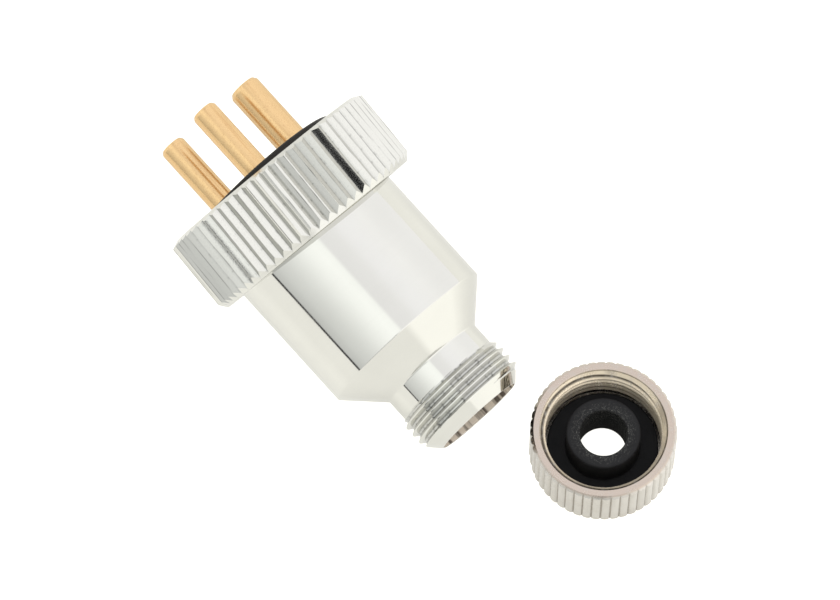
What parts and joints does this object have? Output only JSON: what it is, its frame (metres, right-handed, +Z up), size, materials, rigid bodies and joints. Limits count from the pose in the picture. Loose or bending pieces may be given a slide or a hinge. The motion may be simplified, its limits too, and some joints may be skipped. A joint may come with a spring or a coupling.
{
  "type": "cable plug with coupling ring",
  "caption": "Round metal three-pin cable plug with a knurled coupling ring, a screw-in insert and a separate gland nut with a rubber cord grommet.",
  "frame": {"origin": "on the surface that the plug and its nut lie on, under the middle of the whole bounding box", "axes": "+X along the plug's heading, the way the pins point; +Z up; the plug's own axis rises 10 degrees towards the pins, and the nut's axis is +Z"},
  "size_m": [0.0924, 0.044, 0.0405],
  "materials": {
    "chrome": "bright plated, turned and polished",
    "nickel": "nickel plated, warm, turned",
    "pin_brass": "bare turned brass",
    "small_brass": "satin brass",
    "screw_steel": "zinc plated",
    "insulator": "moulded black, slightly matt",
    "rubber": "black, matt",
    "liner": "brown fibre, matt"
  },
  "bodies": {
    "plug_body": {"shell": "chrome", "retaining_clip": "screw_steel", "face_gasket": "rubber", "insulating_liner": "liner", "cord_grommet": "rubber", "gland_washer": "screw_steel"},
    "slip_washer": {"slip_washer": "small_brass"},
    "coupling_ring": {"coupling_ring": "chrome"},
    "insert_seal": {"insert_seal": "rubber"},
    "insert": {"front_insulator": "insulator", "rear_insulator": "insulator", "contact_pin_1": "pin_brass", "contact_pin_2": "pin_brass", "earth_pin": "pin_brass", "earth_spring": "small_brass", "terminal_screw_1": "screw_steel", "terminal_screw_2": "screw_steel", "terminal_screw_3": "screw_steel", "block_screw": "screw_steel"},
    "gland_nut": {"gland_nut": "nickel"}
  },
  "joints": [
    {"name": "ring_slide", "type": "slide", "parent": "plug_body", "child": "slip_washer", "axis": [-0.9856, 0, -0.1694], "range_m": [0, 0.02]},
    {"name": "ring_spin", "type": "hinge", "parent": "slip_washer", "child": "coupling_ring", "pos_m": [0.01838, 0.0026, 0.01828], "axis": [0.9588, -0.0227, 0.2831], "continuous": true},
    {"name": "insert_travel", "type": "slide", "parent": "plug_body", "child": "insert_seal", "axis": [0.9856, 0, 0.1694], "range_m": [0, 0.006]},
    {"name": "insert_turn", "type": "hinge", "parent": "insert_seal", "child": "insert", "pos_m": [-0.01983, 0.00303, 0.01182], "axis": [0.9856, 0, 0.1694], "range_deg": [0, 1440]},
    {"name": "gland_nut_spin", "type": "hinge", "parent": "plug_body", "child": "gland_nut", "pos_m": [-0.03453, -0.01027, 0], "axis": [0, 0, 1], "continuous": true}
  ],
  "couplings": [
    {"joint": "insert_turn", "follows": "insert_travel", "rad_per_m": 4188.8}
  ]
}
